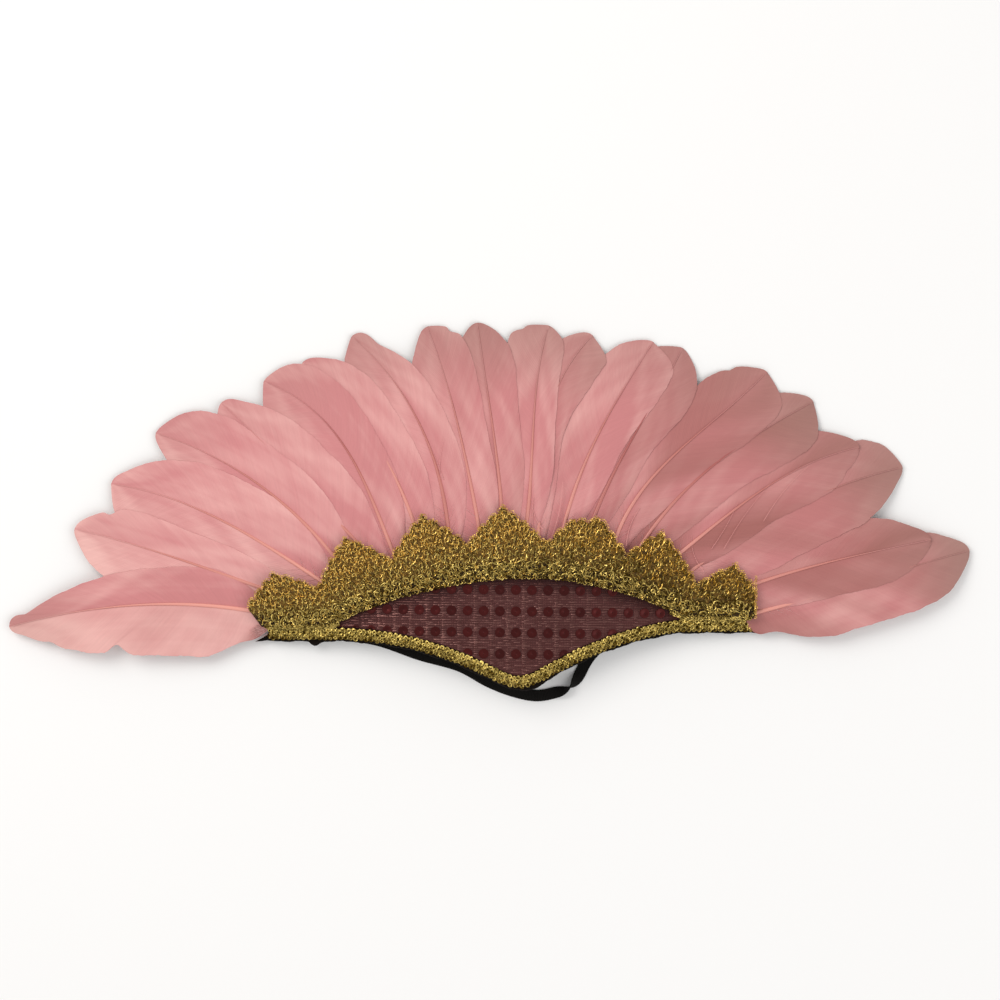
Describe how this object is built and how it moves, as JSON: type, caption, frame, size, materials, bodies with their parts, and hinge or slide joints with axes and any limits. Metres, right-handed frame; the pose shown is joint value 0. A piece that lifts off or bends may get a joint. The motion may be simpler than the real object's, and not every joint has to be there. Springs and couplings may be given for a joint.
{
  "type": "feather headdress",
  "caption": "Fan of dyed goose feathers on a curved felt base with a sequined panel, pointed gold lace, gold edge braid and an elastic band.",
  "frame": {"origin": "middle of the footprint on the surface that the headdress lies on", "axes": "+X along the width, to the right as seen from the front; +Y from the elastic band to the feather tips; +Z out of the front face, upwards as it lies"},
  "size_m": [0.4508, 0.178, 0.0223],
  "materials": {
    "felt": "matte needled wool felt",
    "sequin_cloth": "woven metallic-thread cloth with glossy sequins",
    "gold_lace": "metallic yarn lace, glittering",
    "gold_braid": "metallic yarn braid, glittering",
    "elastic": "matte ribbed elastic",
    "feather": "dyed feather, soft satin"
  },
  "bodies": {
    "root": {"base_backing": "felt", "sequin_panel": "sequin_cloth", "lace_trim": "gold_lace", "edge_braid": "gold_braid", "head_elastic": "elastic", "feather_01": "feather", "feather_02": "feather", "feather_03": "feather", "feather_04": "feather", "feather_05": "feather", "feather_06": "feather", "feather_07": "feather", "feather_08": "feather", "feather_09": "feather", "feather_10": "feather", "feather_11": "feather", "feather_12": "feather", "feather_13": "feather", "feather_14": "feather", "feather_15": "feather", "feather_16": "feather", "feather_17": "feather", "feather_18": "feather", "feather_19": "feather", "feather_20": "feather"}
  },
  "joints": []
}
